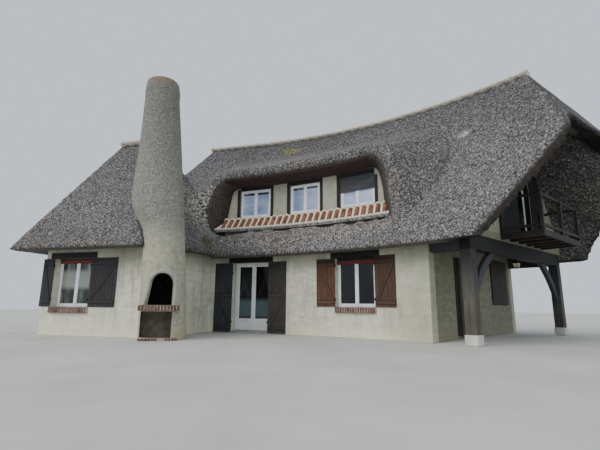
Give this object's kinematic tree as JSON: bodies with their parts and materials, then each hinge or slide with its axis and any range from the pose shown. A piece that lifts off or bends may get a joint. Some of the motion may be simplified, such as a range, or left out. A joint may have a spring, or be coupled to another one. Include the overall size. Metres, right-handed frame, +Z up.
{
  "type": "thatched cottage",
  "caption": "Thatched cottage on a gently curved plan: forward wing, round chimney with barbecue niche, dormer band under a brow, shuttered openings, open porch and balcony.",
  "frame": {"origin": "on the underside of the ground floor slab at ground level, in the middle of the house's depth, on the plane where the curved front looks straight along -Y", "axes": "+X along the front to the right as seen from the terrace, +Y from the front into the house, +Z up"},
  "size_m": [18.4398, 11.7477, 7.88],
  "materials": {
    "render": "rough coated render",
    "roughcast": "thrown roughcast",
    "thatch": "weathered reed",
    "clay": "weathered clay tile",
    "brick": "worn brick",
    "dark_wood": "tarred and stained",
    "red_wood": "faded red-brown stain",
    "white_plastic": "satin",
    "grey_plastic": "matt",
    "concrete": "floated",
    "white_paint": "painted masonry"
  },
  "bodies": {
    "house": {"main_thatch": "thatch", "wing_thatch": "thatch", "main_ridge": "clay", "wing_ridge": "clay", "front_wall_left": "render", "front_wall_over_door": "render", "front_wall_right": "render", "door_lintel": "dark_wood", "window_lintel": "dark_wood", "window_sill": "brick", "gable_wall_front": "render", "gable_wall_over_door": "render", "gable_wall_rear": "render", "back_wall": "render", "left_wall": "render", "wing_front_wall": "render", "wing_side_wall": "render", "wing_lintel": "dark_wood", "wing_sill": "brick", "upper_gable_wall": "render", "ground_slab": "concrete", "upper_floor": "dark_wood", "dormer_wall": "render", "dormer_apron": "clay", "front_window": "white_plastic", "wing_window": "white_plastic", "dormer_window_1": "white_plastic", "dormer_window_2": "white_plastic", "dormer_window_3": "white_plastic", "back_window": "white_plastic", "gable_window": "white_plastic", "balcony_door": "white_plastic", "roller_shutter": "grey_plastic", "door_frame": "white_plastic", "door_step": "concrete", "porch_beam": "dark_wood", "front_post": "dark_wood", "front_plinth": "white_paint", "front_plate": "dark_wood", "rear_post": "dark_wood", "rear_plinth": "white_paint", "rear_plate": "dark_wood", "front_brace": "dark_wood", "rear_brace": "dark_wood", "balcony_floor": "dark_wood", "balcony_rail": "dark_wood", "chimney": "roughcast", "hearth_shelf": "brick"},
    "door_shutter_left": {"door_shutter_left": "dark_wood"},
    "door_shutter_right": {"door_shutter_right": "dark_wood"},
    "window_shutter_left": {"window_shutter_left": "red_wood"},
    "window_shutter_right": {"window_shutter_right": "red_wood"},
    "wing_shutter_left": {"wing_shutter_left": "dark_wood"},
    "wing_shutter_right": {"wing_shutter_right": "dark_wood"},
    "gable_shutter_front": {"gable_shutter_front": "dark_wood"},
    "gable_shutter_rear": {"gable_shutter_rear": "dark_wood"},
    "porch_door": {"porch_door": "dark_wood"},
    "door_leaf_left": {"door_leaf_left": "white_plastic"},
    "door_leaf_right": {"door_leaf_right": "white_plastic"}
  },
  "joints": [
    {"name": "door_shutter_left_hinge", "type": "hinge", "parent": "house", "child": "door_shutter_left", "pos_m": [-2.53161, -3.25555, 0], "axis": [0, 0, 1], "range_deg": [0, 177.3]},
    {"name": "door_shutter_right_hinge", "type": "hinge", "parent": "house", "child": "door_shutter_right", "pos_m": [-1.24632, -3.07824, 0], "axis": [0, 0, -1], "range_deg": [0, 177.3]},
    {"name": "window_shutter_left_hinge", "type": "hinge", "parent": "house", "child": "window_shutter_left", "pos_m": [1.07719, -3.06399, 0], "axis": [0, 0, 1], "range_deg": [0, 177.4]},
    {"name": "window_shutter_right_hinge", "type": "hinge", "parent": "house", "child": "window_shutter_right", "pos_m": [2.3252, -3.21875, 0], "axis": [0, 0, -1], "range_deg": [0, 177.4]},
    {"name": "wing_shutter_left_hinge", "type": "hinge", "parent": "house", "child": "wing_shutter_left", "pos_m": [-6.12886, -7.04403, 0], "axis": [0, 0, 1], "range_deg": [0, 180]},
    {"name": "wing_shutter_right_hinge", "type": "hinge", "parent": "house", "child": "wing_shutter_right", "pos_m": [-4.86335, -6.74655, 0], "axis": [0, 0, -1], "range_deg": [0, 180]},
    {"name": "gable_shutter_front_hinge", "type": "hinge", "parent": "house", "child": "gable_shutter_front", "pos_m": [5.03616, 0.48362, 0], "axis": [0, 0, -1], "range_deg": [0, 170]},
    {"name": "gable_shutter_rear_hinge", "type": "hinge", "parent": "house", "child": "gable_shutter_rear", "pos_m": [5.4388, 1.8766, 0], "axis": [0, 0, 1], "range_deg": [0, 110]},
    {"name": "porch_door_hinge", "type": "hinge", "parent": "house", "child": "porch_door", "pos_m": [3.96965, -2.06443, 0], "axis": [0, 0, 1], "range_deg": [0, 95]},
    {"name": "door_leaf_left_hinge", "type": "hinge", "parent": "house", "child": "door_leaf_left", "pos_m": [-2.52577, -2.91938, 0], "axis": [0, 0, 1], "range_deg": [0, 95]},
    {"name": "door_leaf_right_hinge", "type": "hinge", "parent": "house", "child": "door_leaf_right", "pos_m": [-1.34297, -2.75621, 0], "axis": [0, 0, -1], "range_deg": [0, 95]}
  ]
}
